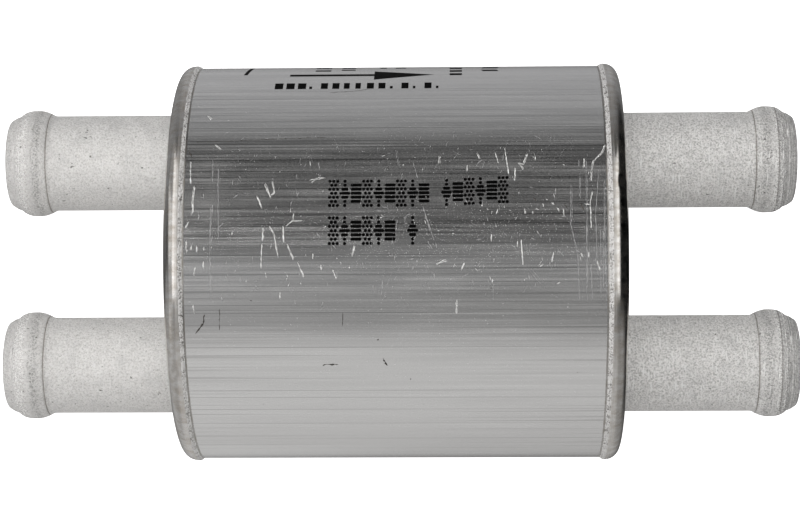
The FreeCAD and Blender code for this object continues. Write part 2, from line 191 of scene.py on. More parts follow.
# --------------------------------------------------------------- shader helpers
class Surface:
    """A material made of shader nodes around one Principled shader."""

    def __init__(self, name, colour, metallic, roughness):
        self.material = bpy.data.materials.new(name)
        self.material.use_nodes = True
        self.tree = self.material.node_tree
        self.shader = self.tree.nodes["Principled BSDF"]
        self.set("Base Color", (*colour, 1))
        self.set("Metallic", metallic)
        self.set("Roughness", roughness)

    def set(self, socket, value):
        """Put a number, a colour or another node's output into the shader."""
        self.feed(self.shader.inputs[socket], value)

    def feed(self, socket, value):
        if isinstance(value, bpy.types.NodeSocket):
            self.tree.links.new(value, socket)
        else:
            socket.default_value = value

    def node(self, kind, inputs, **settings):
        made = self.tree.nodes.new(kind)
        for name, value in settings.items():
            setattr(made, name, value)
        for name, value in inputs.items():
            self.feed(made.inputs[name], value)
        return made

    def math(self, operation, first, second=0.0, clamp=False):
        made = self.node("ShaderNodeMath", {0: first, 1: second}, operation=operation)
        made.use_clamp = clamp
        return made.outputs[0]

    def place(self, scale, shift=(0, 0, 0)):
        """Surface coordinates in millimetres (around, along), scaled, then shifted."""
        uv = self.node("ShaderNodeUVMap", {}, uv_map="around_along").outputs["UV"]
        return self.node("ShaderNodeVectorMath", {0: uv, 1: (*scale, 1), 2: shift},
                         operation="MULTIPLY_ADD").outputs["Vector"]

    def space(self, scale):
        """The object's own coordinates in millimetres, times a scale."""
        place = self.node("ShaderNodeTexCoord", {}).outputs["Object"]
        scaled = [part / MM for part in scale]
        return self.node("ShaderNodeVectorMath", {0: place, 1: scaled},
                         operation="MULTIPLY").outputs["Vector"]

    def noise(self, vector, detail=2.0, roughness=0.5):
        return self.node("ShaderNodeTexNoise",
                         {"Vector": vector, "Scale": 1.0, "Detail": detail,
                          "Roughness": roughness}).outputs["Fac"]

    def spread(self, value, low, high, out_low=0.0, out_high=1.0):
        """Map a value from low..high to out_low..out_high, held at the ends."""
        return self.node("ShaderNodeMapRange",
                         {"Value": value, "From Min": low, "From Max": high,
                          "To Min": out_low, "To Max": out_high}).outputs["Result"]

    def band(self, value, rising, falling):
        """1 between two pairs of values and 0 outside them, with sloping sides."""
        return self.math("MULTIPLY", self.spread(value, *rising),
                         self.spread(value, *falling, 1.0, 0.0))

    def blend(self, share, first, second):
        """Mix two colours or two outputs that hold colours."""
        made = self.node("ShaderNodeMix", {}, data_type="RGBA")
        self.feed(made.inputs["Factor"], share)
        for socket, colour in (("A", first), ("B", second)):
            self.feed(made.inputs[socket], (*colour, 1) if isinstance(colour, tuple) else colour)
        return made.outputs["Result"]

    def bump(self, height, distance_mm, strength=1.0, base=None):
        inputs = {"Height": height, "Distance": distance_mm * MM, "Strength": strength}
        if base is not None:
            inputs["Normal"] = base
        return self.node("ShaderNodeBump", inputs).outputs["Normal"]


# ----------------------------------------------------------------- housing shape
# The second zone, where the tube meets the scuffed strip, carries painted shade.
BODY, SEAM_SHADE, BAND, LIP, RIM = range(5)
HOUSING_SEGMENTS = 720

# How far in from the rim's end the scuffed strip starts, at each end.
OUTLET_STRIP, INLET_STRIP = 2.34, 2.28
SEAM_WIDTH = 0.22
STRIP_RISE = 0.25

# Dents in the rims of both ends: x, degrees around from the top, depth, and how far
# each one reaches along X and around.
DENTS = [
    (26.3, 17.2, 0.13, 0.28, 0.65),
    (26.55, 16.0, 0.08, 0.2, 0.5),
    (-26.1, -36.0, 0.12, 0.35, 0.5),
]

# The dents press in only what lies outside this radius.
OUTER_SKIN = FLANGE_RADIUS + 1


def housing_half(strip_start):
    """Half section of the rolled tube from its middle to one end and back inside:
    smooth body, scuffed strip, crease, lip, rolled rim, cap seat and bore."""
    ramp_start = RIM_END - strip_start
    crease = RIM_END - 1.88
    lip = RIM_END - 1.6
    outline = Outline(0, TUBE_RADIUS)
    outline.line(ramp_start - SEAM_WIDTH, TUBE_RADIUS, BODY, steps=16)
    # This narrow zone before the strip's rise is darkened as painted shade.
    outline.line(ramp_start, TUBE_RADIUS, SEAM_SHADE)
    outline.line(crease - 0.06, TUBE_RADIUS + STRIP_RISE, BAND, steps=5)
    outline.line(crease, TUBE_RADIUS + STRIP_RISE - 0.03, BAND)
    outline.line(crease + 0.06, LIP_RADIUS - 0.005, BAND)
    outline.line(crease + 0.12, LIP_RADIUS, LIP)
    outline.line(lip, LIP_RADIUS - 0.014, LIP)
    outline.line(lip + 0.15, LIP_RADIUS - 0.032, LIP)
    outline.arc(RIM_END, LIP_RADIUS - 1.3, 0.17, RIM, steps=16)
    outline.arc(RIM_END - 0.12, LIP_RADIUS - 2.1, 0.04, RIM, steps=4)
    outline.line(RIM_END - 0.3, FLANGE_RADIUS + 0.45, RIM, steps=2)
    outline.arc(RIM_END - 0.7, FLANGE_RADIUS, 0.2, RIM, steps=6)
    outline.line(CAP_FACE, FLANGE_RADIUS, RIM)
    outline.line(CAP_FACE, SEAT_RADIUS, RIM)
    outline.line(SHOULDER, SEAT_RADIUS, RIM)
    outline.line(SHOULDER, TUBE_BORE, RIM)
    outline.line(0, TUBE_BORE, RIM)
    return outline


def closed_outline(right, left):
    """One half outline, then the other mirrored and run backwards."""
    whole = Outline(*right.points[0])
    whole.points += right.points[1:]
    whole.points += [(-x, radius) for x, radius in reversed(left.points[:-1])]
    whole.zones = right.zones + left.zones[::-1]
    return whole


def dented(x, radius, angle):
    """Where a point of the housing lies once the dents are pressed in."""
    if radius < OUTER_SKIN:
        return x, radius
    for place, degrees, depth, along, around in DENTS:
        away = math.remainder(angle - math.radians(degrees), TURN) * LIP_RADIUS / around
        press = depth * math.exp(-away ** 2 - ((x - place) / along) ** 2)
        radius -= press
        x -= math.copysign(press / 2, x)
    return x, radius


def make_housing():
    outline = closed_outline(housing_half(OUTLET_STRIP), housing_half(INLET_STRIP))
    shell = lathe("housing_shell", outline, HOUSING_SEGMENTS, reshape=dented)
    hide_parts("housing_tube")
    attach(shell, "root")
    for material in (tube_metal(), seam_metal(), band_metal(), lip_metal(), rim_metal()):
        shell.data.materials.append(material)


# ------------------------------------------------------------------ nozzle shape
def nozzle_outline():
    """Section of a nozzle: staked inner end, collar outside the cap, shank, foot,
    fine crease, bead, rounded nose and bore."""
    outline = Outline(NOZZLE_INNER, SHANK_RADIUS + 0.3)
    outline.line(NOZZLE_INNER + 0.3, SHANK_RADIUS + 0.6)
    outline.line(SHOULDER, SHANK_RADIUS + 0.6)
    outline.line(SHOULDER, SHANK_RADIUS)
    outline.line(CAP_FACE, SHANK_RADIUS)
    outline.line(CAP_FACE, COLLAR_RADIUS)
    outline.line(CAP_FACE + 0.9, COLLAR_RADIUS)
    outline.arc(CAP_FACE + 2.1, SHANK_RADIUS, -0.2, steps=8)
    outline.line(BEAD_FOOT, SHANK_RADIUS, steps=12)
    outline.arc(BEAD_CREASE - 0.05, SHANK_RADIUS + 0.22, -0.08, steps=6)
    outline.line(BEAD_CREASE, SHANK_RADIUS + 0.13)
    outline.line(BEAD_CREASE + 0.05, SHANK_RADIUS + 0.25)
    outline.arc(CROWN_INNER, BEAD_RADIUS - 0.01, 0.05, steps=8)
    outline.arc(CROWN_OUTER, BEAD_RADIUS - 0.03, 0.01, steps=5)
    outline.arc(NOZZLE_NOSE, SHANK_RADIUS + 0.04, 0.09, steps=10)
    outline.line(NOZZLE_NOSE + 0.06, SHANK_RADIUS - 0.03)
    outline.arc(NOZZLE_TIP, SHANK_RADIUS - 0.47, 0.06, steps=8)
    outline.arc(NOZZLE_END, NOZZLE_BORE + 0.12, 0.14, steps=6)
    outline.line(NOZZLE_END - 0.12, NOZZLE_BORE)
    outline.line(NOZZLE_INNER, NOZZLE_BORE, steps=4)
    outline.line(NOZZLE_INNER, SHANK_RADIUS + 0.3)
    return outline


# --------------------------------------------------------------------- ink marks
# Marks stand on the tube by their lift, and reach into it by their root.
INK_LIFT = 0.012
INK_ROOT = 0.02


def on_tube(along, around, lift):
    """Point on the tube: millimetres along X, and around from the top towards +Y."""
    angle = around / TUBE_RADIUS
    radius = TUBE_RADIUS + lift
    return (along, radius * math.sin(angle), radius * math.cos(angle))


def add_dot(vertices, faces, along, around, radius, corners=10):
    """One thin closed dot of ink."""
    start = len(vertices)
    for lift in (-INK_ROOT, INK_LIFT):
        for corner in range(corners):
            angle = TURN * corner / corners
            vertices.append(on_tube(along + radius * math.sin(angle),
                                    around + radius * math.cos(angle), lift))
    faces.append([start + index for index in range(corners)])
    faces.append([start + 2 * corners - 1 - index for index in range(corners)])
    for index in range(corners):
        after = (index + 1) % corners
        faces.append([start + after, start + index,
                      start + corners + index, start + corners + after])


def add_ribbon(vertices, faces, stations, lift=INK_LIFT, crown=0.0):
    """One thin closed ribbon on the tube through pairs of (along, around) points,
    raised along its middle by crown."""
    start = len(vertices)
    for first, second in stations:
        middle = [(one + other) / 2 for one, other in zip(first, second)]
        section = ((first, -INK_ROOT), (first, lift), (middle, lift + crown),
                   (second, lift), (second, -INK_ROOT))
        sides = len(section)
        for (along, around), height in section:
            vertices.append(on_tube(along, around, height))
    for station in range(len(stations) - 1):
        here = start + sides * station
        for side in range(sides):
            after = (side + 1) % sides
            faces.append([here + side, here + after, here + sides + after, here + sides + side])
    last = start + sides * (len(stations) - 1)
    faces.append([start + side for side in reversed(range(sides))])
    faces.append([last + side for side in range(sides)])


def add_bar(vertices, faces, along, around, length, height, lean=0.0, steps=4):
    """One bar of ink from its lower left corner; its top is shifted by lean."""
    stations = []
    for step in range(steps + 1):
        share = step / steps
        left = along + lean * share
        level = around + height * share
        stations.append(((left, level), (left + length, level)))
    add_ribbon(vertices, faces, stations)


def finish_marks(name, vertices, faces, material):
    """Make one piece of many closed marks, with their faces turned outwards."""
    piece = new_object(name, vertices, faces)
    bm = bmesh.new()
    bm.from_mesh(piece.data)
    bmesh.ops.recalc_face_normals(bm, faces=bm.faces)
    bm.to_mesh(piece.data)
    bm.free()
    piece.data.materials.append(material)
    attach(piece, "root")


def around_at(degrees):
    """Distance around the tube, in millimetres, of an angle from the top."""
    return math.radians(degrees) * TUBE_RADIUS


def make_arrow(ink):
    """Flow arrow: a thin shaft and a long narrow head, pointing at the outlets."""
    vertices, faces = [], []
    middle = around_at(64.2)
    tail, neck, tip = -13.2, -2.9, 4.3
    shaft_half, head_half, steps = 0.38, 1.75, 16
    add_bar(vertices, faces, tail, middle - shaft_half, neck - tail, 2 * shaft_half)
    stations = []
    for step in range(steps + 1):
        across = head_half * (2 * step / steps - 1)
        right = tip - (tip - neck) * abs(across) / head_half
        stations.append(((neck, middle + across), (max(right, neck + 0.02), middle + across)))
    add_ribbon(vertices, faces, stations)
    finish_marks("print_arrow", vertices, faces, ink)


def make_bars(ink):
    """Plain bars where the tube carries words: a row below the arrow, and the foot
    of another row beyond it, set near places that were measured in the photograph."""
    vertices, faces = [], []
    around, height, pitch = around_at(53.8), 1.6, 1.39
    lengths = (1.0, 1.0, 1.0, 0.35, 0.85, 0.85, 0.7, 0.65, 0.85, 0.85, 0.35, 0.85, 0.3, 0.85, 0.3)
    for index, length in enumerate(lengths):
        low = 0.4 if length < 0.5 else 1.0
        add_bar(vertices, faces, -14.8 + index * pitch, around, length, height * low)
    finish_marks("print_bars", vertices, faces, ink)

    vertices, faces = [], []
    for along, degrees, length, height, lean in (
            (-18.9, 65.0, 0.45, 4.6, 0.5), (-10.2, 68.8, 1.9, 0.7, 0), (-10.2, 73.5, 1.9, 0.8, 0),
            (-7.0, 70.0, 1.7, 0.6, 0), (-7.0, 74.0, 1.7, 0.8, 0), (-2.3, 73.5, 0.8, 1.0, 0),
            (-0.4, 73.5, 1.3, 1.0, 0), (6.3, 63.6, 1.5, 0.8, 0), (6.3, 67.3, 1.5, 0.9, 0),
            (6.3, 71.5, 1.5, 1.0, 0), (10.4, 68.0, 1.9, 0.8, -0.3), (10.2, 72.5, 1.9, 1.0, 0.3)):
        add_bar(vertices, faces, along, around_at(degrees), length, height, lean, steps=6)
    finish_marks("print_far_bars", vertices, faces, ink)


# Plain patches of dots given by a rule on column and row: a chequered one, a
# lozenge and a full block. They spell nothing.
PATCH_COLUMNS, PATCH_ROWS = 5, 7
PATCHES = [
    lambda column, row: (column + row) % 2 == 0,
    lambda column, row: 3 * abs(column - 2) + 2 * abs(row - 3) <= 6,
    lambda column, row: 0 < row < 6,
]


def make_code_line(name, count, gap, degrees, rise, ink):
    """A line of dotted patches in place of the stamped code. Beyond its gap the line
    climbs a little, as from a swaying print head."""
    vertices, faces = [], []
    first, cell, column_pitch, row_pitch, dot_radius = -7.6, 1.31, 0.225, 0.50, 0.20
    for index in range(count):
        if index == gap:
            continue
        patch = PATCHES[index % len(PATCHES)]
        low = around_at(degrees) + dot_radius + rise * max(0, index - gap)
        for column in range(PATCH_COLUMNS):
            for row in range(PATCH_ROWS):
                if patch(column, row):
                    add_dot(vertices, faces, first + index * cell + column * column_pitch,
                            low + row * row_pitch, dot_radius)
    finish_marks(name, vertices, faces, ink)


# -------------------------------------------------------------------- wear marks
# How high the sides of a scratch stand, and its middle above them as a share of its
# width; how much it wavers, and how far its strands lie apart and lean.
SCRATCH_LIFT = 0.004
SCRATCH_CROWN = 0.11
SCRATCH_SWAY = 0.022
STRAND_SPREAD = 0.055
STRAND_LEAN = 3.0

# Small nicks lie no farther from the middle than this.
NICKS_REACH = RIM_END - 2.9

# The main scratches on the side that is seen, each a run of places on the tube:
# (millimetres along X, degrees around from the top). Each place was picked by eye in
# the photograph, and a separate helper program worked out where on the tube it lies.
BRIGHT_SCRATCHES = [
    # beside the inlet lip
    [(-23.9, 24), (-23.8, 17)], [(-23.4, 16.5), (-23.6, 12.5), (-23.5, 10), (-23.7, 8)],
    [(-23.9, 6.5), (-24.3, 4.5)], [(-24.2, 1), (-24.2, -1.5)], [(-23.6, 0), (-23.6, -1.5)],
    [(-23, 0), (-23, -2)], [(-22.1, -0.5), (-22.1, -1.5)], [(-23.1, -6), (-23.3, -8.5)],
    [(-22.2, -4.5), (-22.2, -6.5)], [(-23.5, -16.5), (-23.4, -18.5)],
    [(-21.2, 29.5), (-20.5, 28)], [(-22.4, 40.5), (-21.9, 39)],
    # between the inlet lip and the code
    [(-15.2, 17), (-14.5, 13)], [(-14.3, 18), (-14, 14.5), (-14.4, 13.5)],
    [(-16, 13.5), (-15.4, 10)], [(-15.2, 4.5), (-15.3, 1)], [(-15.4, 0), (-15.5, -6.5)],
    [(-14.6, 5), (-14.1, 3), (-13.6, -3)], [(-13, 5), (-12.9, 0.5)], [(-12.4, -0.5), (-11.7, -4)],
    [(-11.3, -5), (-10.6, -9)], [(-9.5, -2.5), (-9.5, -4)], [(-8.6, -5.5), (-8.6, -7)],
    [(-7.2, -7), (-6.8, -9.5)], [(-4.7, -0.5), (-5, -3.5)], [(-13.3, -13), (-13.3, -15)],
    [(-15.1, -7.5), (-14.9, -9)], [(-9.9, 18), (-9, 18.4), (-8.2, 18.5)],
    [(-11.8, 8.5), (-11.8, 6.5), (-12.6, 5)], [(-11.8, 6.5), (-10.7, 6.5)],
    [(-10, 24), (-9.9, 22.5)],
    # beyond the code
    [(5.1, 25.5), (5.1, 23)], [(8.4, 22.5), (8.4, 20.5)], [(9.5, 26.5), (9.8, 24.5)],
    [(12.8, 28), (13, 23), (13.2, 19.5)], [(11.6, 26.5), (12, 23)],
    [(15.4, 26), (14.9, 22.5), (14.4, 23), (14.9, 21)], [(13.9, 21.5), (13.8, 17.5)],
    [(16.2, 25.5), (16.2, 24)], [(11.1, 2.5), (11.1, 0.5)], [(14.5, 1), (14.7, -6)],
    [(14.1, 0.5), (14.1, -1)], [(4.8, -5.5), (5.3, -5), (6, -4.5)], [(8, -5), (7.7, -7)],
    [(11.1, -9.5), (11.1, -10.5)], [(7.1, -15), (7, -19)], [(18.2, -2.5), (18, -5)],
    [(17, -5.5), (16.6, -6.5)], [(18.6, -11), (19, -10.5)],
    # a broken curve of nicks
    [(10, 10.7), (10.1, 10.2)], [(10.6, 9.7), (10.7, 9.2)], [(11.2, 8.9), (11.2, 8.4)],
    [(11.8, 9.5), (11.7, 8)], [(12.5, 10.2), (12.6, 9.8)], [(13.2, 9.1), (13.4, 9)],
    [(15, 9.5), (15, 8)], [(15.9, 8.9), (15.9, 8.2)], [(16.3, 9.6), (16.5, 9.2)],
    [(17, 10.9), (17.1, 10.2)], [(17.4, 12.1), (17.6, 11.9)], [(18.1, 11.2), (18.4, 10.6)],
    [(18.7, 9.6), (18.9, 8.7)], [(19.4, 9.2), (19.4, 7.4)],
    # beside the outlet lip
    [(24.5, 29), (24.1, 26), (23.1, 23.5), (22.8, 20.5), (22.7, 17.5)],
    [(22.8, 14.5), (22.5, 11), (22.6, 4)], [(22, 24.5), (21.9, 21.5)], [(21.4, -2.5), (21.6, -4)],
    [(22.3, -2.5), (22.3, -4)], [(23.3, -5), (23.6, -7.5)],
]
FAINT_SCRATCHES = [
    [(-21.4, 25), (-21.3, 17.5)], [(-21.4, 11), (-21.4, -15)], [(9, -9.5), (8.9, -12.5)],
    [(11.3, -11), (11.3, -15.5)], [(15.5, -7.5), (17, -11.5)], [(20.3, 5), (20.9, -1.5)],
    [(21, -2.5), (21.2, -15)], [(22.2, 24), (22.1, 5), (22.1, -16)],
    [(23.6, 21), (23.1, 8), (23.2, -4.5)], [(21.3, 19), (21.2, 12)],
    [(20.4, 16), (20.3, 5)], [(22.5, -5.5), (22.7, -15.5)],
    [(24.2, 17.5), (24.1, 4), (24.3, -16)], [(23.7, 3.5), (23.7, -15.5)], [(3.4, 8.5), (4.5, 1)],
    [(3.2, 10.5), (4.1, 3)], [(2, 24), (2.6, 18.5)], [(0.1, 27.5), (0.4, 22.5)],
    [(24, 3), (24, -12)], [(-20.6, 22), (-20.4, 2)],
]
HAIRLINES = [
    [(-23.5, 30.5), (-18.3, 31), (-13.6, 31.5), (-8.3, 32)],
    [(-8.1, 51.5), (-5.6, 52), (-3.2, 53.5)],
    [(-6.1, -18.5), (-6.2, -22.5)], [(-20.4, -17.5), (-20.5, -23.5)],
]
DARK_SCRATCHES = [
    [(13.5, 13.8), (13.8, 12.8)], [(16, 12.6), (16.3, 11.6)], [(19.6, 10.6), (19.9, 9.4)],
    [(21.4, 11), (21.8, 9)], [(-22.2, -19), (-22.3, -21.5), (-23.3, -24.5)],
    [(-24.3, 28), (-23.8, 25)],
    [(-8.6, -34.5), (-8.4, -34), (-6.8, -34)], [(-1.6, -32), (-1.1, -34.5)],
]


def add_scratch(vertices, faces, places, width, chance):
    """A thin ribbon along a run of (along, degrees): ragged, and fine at both ends."""
    path = [Vector((along, around_at(degrees))) for along, degrees in places]
    points = [path[0]]
    for start, end in zip(path, path[1:]):
        pieces = max(2, math.ceil((end - start).length / 0.22))
        points += [start.lerp(end, piece / pieces) for piece in range(1, pieces + 1)]
    stations = []
    for index, point in enumerate(points):
        before = points[max(index - 1, 0)]
        after = points[min(index + 1, len(points) - 1)]
        ahead = (after - before).normalized()
        at_end = index in (0, len(points) - 1)
        half = width / 2 * (0.2 if at_end else chance.uniform(0.2, 1.3))
        side = Vector((-ahead.y, ahead.x))
        middle = point + side * chance.gauss(0, SCRATCH_SWAY)
        stations.append((tuple(middle + side * half), tuple(middle - side * half)))
    add_ribbon(vertices, faces, stations, SCRATCH_LIFT, width * SCRATCH_CROWN)


def make_main_scratches(name, runs, width, strands, material):
    """Every scratch is a few strands that lie nearly on top of one another."""
    chance = random.Random(len(runs))
    vertices, faces = [], []
    for places in runs:
        for _ in range(strands):
            aside = chance.gauss(0, STRAND_SPREAD) if strands > 1 else 0.0
            shifted = [(along + aside, degrees + chance.gauss(0, STRAND_LEAN * abs(aside)))
                       for along, degrees in places]
            add_scratch(vertices, faces, shifted, width, chance)
    finish_marks(name, vertices, faces, material)


def make_small_nicks(name, count, seed, low, high, longest, width, material):
    """Short nicks scattered between two angles, most of them across the tube and
    thickest near its ends."""
    chance = random.Random(seed)
    vertices, faces = [], []
    for _ in range(count):
        along = chance.triangular(-1, 1, chance.choice((-0.85, 0.0, 0.6, 0.9))) * NICKS_REACH
        degrees = chance.uniform(low, high)
        length = longest * chance.uniform(0.2, 1) ** 2
        turn = chance.choice((chance.gauss(0, 12), chance.gauss(0, 12), chance.uniform(-90, 90)))
        lean = length * math.sin(math.radians(turn)) / 2
        reach = math.degrees(length * math.cos(math.radians(turn)) / 2 / TUBE_RADIUS)
        places = [(along - lean, degrees - reach), (along + lean, degrees + reach)]
        add_scratch(vertices, faces, places, width * chance.uniform(0.6, 1.2), chance)
    finish_marks(name, vertices, faces, material)


def make_wear():
    bright = scratch_metal("scratch_bright", (0.98, 0.98, 0.97), 0.15)
    faint = scratch_metal("scratch_faint", (0.62, 0.62, 0.63), 0.75)
    dark = scratch_metal("scratch_dark", (0.16, 0.15, 0.14), 0.9)
    make_main_scratches("wear_bright", BRIGHT_SCRATCHES, 0.065, 3, bright)
    make_main_scratches("wear_faint", FAINT_SCRATCHES, 0.045, 2, faint)
    make_main_scratches("wear_dark", DARK_SCRATCHES, 0.2, 1, dark)
    make_main_scratches("wear_hairlines", HAIRLINES, 0.08, 1, dark)
    make_small_nicks("wear_nicks", 120, 11, -12, 28, 0.6, 0.09, bright)
    make_small_nicks("wear_rubs", 380, 12, -17, 33, 1.1, 0.08, faint)
    make_small_nicks("wear_specks", 26, 13, -60, 30, 0.25, 0.14, dark)


# --------------------------------------------------------------------- materials
# How mirror-like bare metal is, and how much a scuff scatters instead, is set by
# Metallic: scuffed metal catches light from all round and shows up where the
# clean metal mirrors the dark side of the room.
def streaked(surface, across, along, detail=3.0):
    """Fine lines along V: noise squeezed across them and stretched along them."""
    return surface.noise(surface.place((across, along)), detail, 0.6)


def tube_metal():
    """Drawn aluminium: die lines along the tube, fine grain, specks and hazy rubs."""
    s = Surface("tube_metal", (0.82, 0.82, 0.82), 1.0, 0.12)
    fine = streaked(s, 8.0, 0.03, 1.0)
    middling = streaked(s, 3.4, 0.06, 1.0)
    broad = streaked(s, 0.9, 0.008)
    grooves = s.spread(streaked(s, 4.4, 0.012, 0.0), 0.30, 0.36, 1.0, 0.0)
    grain = s.noise(s.place((6.5, 3.2)), 3.0, 0.75)
    specks = s.spread(s.noise(s.place((5.0, 4.0), (7, 3, 0)), 1.0), 0.71, 0.77)
    haze = s.noise(s.place((0.22, 0.12)), 4.0, 0.6)
    lines = s.math("ADD", s.spread(fine, 0.36, 0.64, 0.0, 0.6),
                   s.spread(middling, 0.36, 0.64, 0.0, 0.4))
    lines = s.math("MULTIPLY", lines, s.spread(broad, 0.35, 0.65, 0.45, 1.0))
    scuff = s.math("ADD", s.math("MULTIPLY", lines, 0.18), s.spread(grain, 0.40, 0.72, -0.01, 0.08))
    scuff = s.math("ADD", scuff, s.spread(haze, 0.5, 0.75, 0.0, 0.03))
    scuff = s.math("ADD", scuff, s.math("MULTIPLY", specks, 0.35))
    scuff = s.math("MULTIPLY", scuff, s.spread(grooves, 0, 1, 1.0, 0.1), clamp=True)
    s.set("Metallic", s.math("SUBTRACT", 1.0, scuff))
    tone = s.blend(lines, (0.76, 0.76, 0.76), (0.86, 0.86, 0.86))
    s.set("Base Color", s.blend(s.math("MULTIPLY", grooves, 0.5), tone, (0.50, 0.50, 0.50)))
    rough = s.math("ADD", s.spread(broad, 0.35, 0.65, 0.09, 0.11), s.math("MULTIPLY", lines, 0.05))
    s.set("Roughness", s.math("ADD", rough, s.spread(haze, 0.4, 0.7, 0.0, 0.04)))
    normal = s.bump(middling, 0.003, 0.5)
    s.set("Normal", s.bump(grain, 0.002, 0.5, normal))
    return s.material


def band_metal():
    """The strip scuffed by the rolling tool beside each lip."""
    s = Surface("band_metal", (0.90, 0.89, 0.87), 0.6, 0.45)
    grit = s.noise(s.space((6.5, 5.0, 5.0)), 4.0, 0.75)
    wander = s.noise(s.space((0.4, 1.2, 1.2)), 3.0)
    shifted = s.math("ADD", grit, s.spread(wander, 0.3, 0.7, -0.08, 0.08))
    hard = s.spread(shifted, 0.40, 0.50)
    s.set("Base Color", s.blend(hard, (0.34, 0.325, 0.31), (1.0, 0.99, 0.98)))
    s.set("Metallic", s.spread(grit, 0.4, 0.6, 0.85, 0.28))
    s.set("Roughness", s.spread(grit, 0.3, 0.7, 0.25, 0.55))
    s.set("Normal", s.bump(grit, 0.12, 0.9))
    return s.material


def rolled_metal(name, low_rough, high_rough, tone=1.0):
    """Rolled and rubbed, with faint lines around the rim and brownish wear."""
    s = Surface(name, (0.78, 0.765, 0.75), 1.0, 0.16)
    rings = s.noise(s.place((0.04, 8.0)), 3.0, 0.6)
    wear = s.noise(s.space((0.5, 0.9, 0.9)), 5.0, 0.65)
    worn = s.spread(wear, 0.38, 0.66)
    # A tone below 1 darkens the whole colour; the seam uses it for painted shade.
    clean = tuple(part * tone for part in (0.84, 0.83, 0.815))
    brown = tuple(part * tone for part in (0.62, 0.58, 0.53))
    s.set("Base Color", s.blend(worn, clean, brown))
    s.set("Metallic", s.spread(wear, 0.4, 0.7, 1.0, 0.97))
    s.set("Roughness", s.spread(wear, 0.3, 0.7, low_rough, high_rough))
    s.set("Normal", s.bump(wear, 0.02, 0.4, s.bump(rings, 0.01, 0.6)))
    return s.material


def seam_metal():
    """The narrow line where the tube meets the scuffed strip, darkened all over as painted shade
    under the strip's raised edge.
    """
    return rolled_metal("seam_metal", 0.20, 0.40, 0.62)


def lip_metal():
    """The lip where the roller's edge stood, duller than the rim."""
    return rolled_metal("lip_metal", 0.26, 0.36)


def rim_metal():
    return rolled_metal("rim_metal", 0.12, 0.24)


def scratch_metal(name, colour, metallic):
    """Metal turned up by a scratch, uneven along its length."""
    s = Surface(name, colour, metallic, 0.5)
    glint = s.noise(s.space((3.2, 3.2, 3.2)), 3.0, 0.6)
    low = tuple(0.7 * part for part in colour)
    s.set("Base Color", s.blend(s.spread(glint, 0.35, 0.6), low, colour))
    s.set("Metallic", s.spread(glint, 0.42, 0.58, min(metallic + 0.55, 0.97), metallic - 0.08))
    s.set("Roughness", s.spread(glint, 0.3, 0.7, 0.3, 0.5))
    s.set("Normal", s.bump(glint, 0.01, 0.5))
    return s.material


